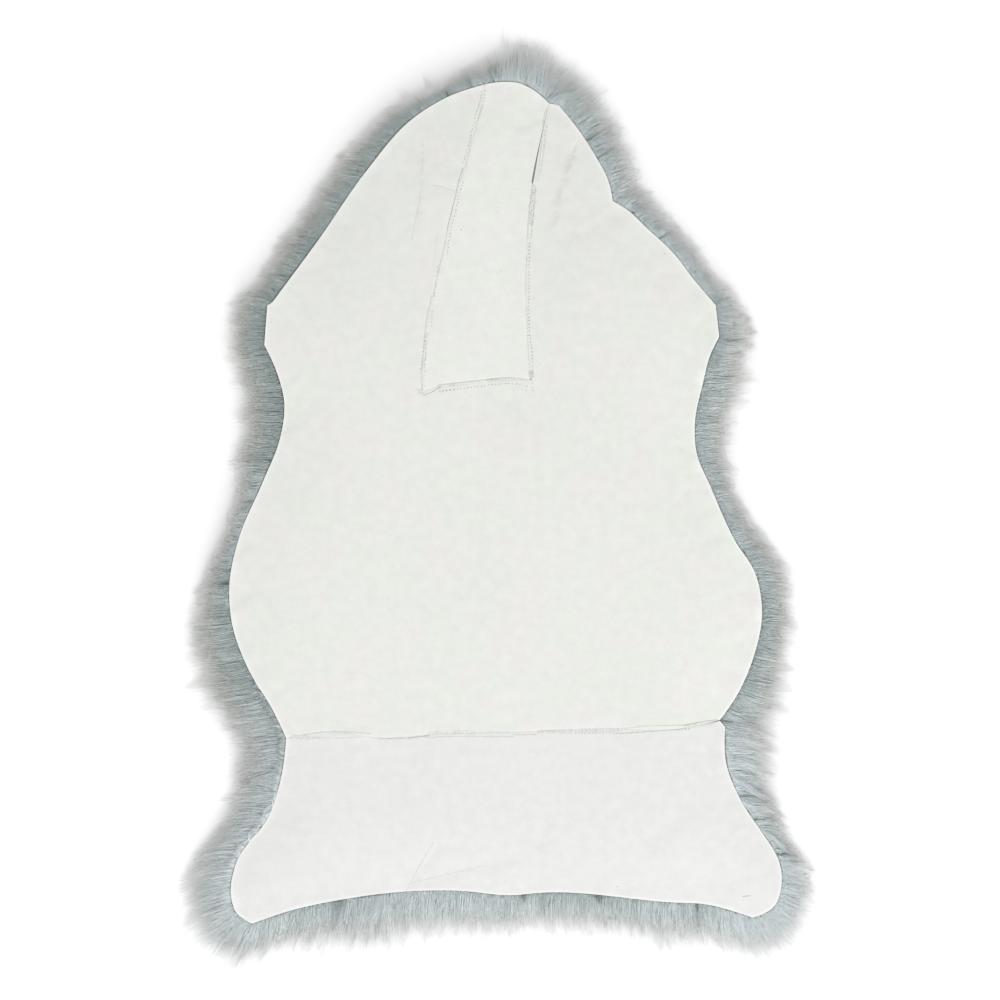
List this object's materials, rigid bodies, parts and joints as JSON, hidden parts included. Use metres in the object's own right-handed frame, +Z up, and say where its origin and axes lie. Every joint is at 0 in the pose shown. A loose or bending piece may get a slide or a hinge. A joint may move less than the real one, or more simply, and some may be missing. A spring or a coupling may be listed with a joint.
{
  "type": "sheepskin rug",
  "caption": "Pieced sheepskin rug lying wool down, skin side up, with long dyed wool standing out all round its cut edge.",
  "frame": {"origin": "middle of the rug's footprint, wool included, on the surface it lies on", "axes": "+Z up out of the skin side, +Y towards the neck end, +X to the right seen from above"},
  "size_m": [0.6238, 0.9256, 0.0352],
  "materials": {
    "skin": "matt sueded flesh side, off-white",
    "wool": "soft combed wool, blue-grey, paler at the tips"
  },
  "bodies": {
    "root": {"hide_body": "skin", "hide_neck": "skin", "hide_rump": "skin", "fleece_body": "wool", "fleece_neck": "wool", "fleece_rump": "wool"}
  },
  "joints": []
}
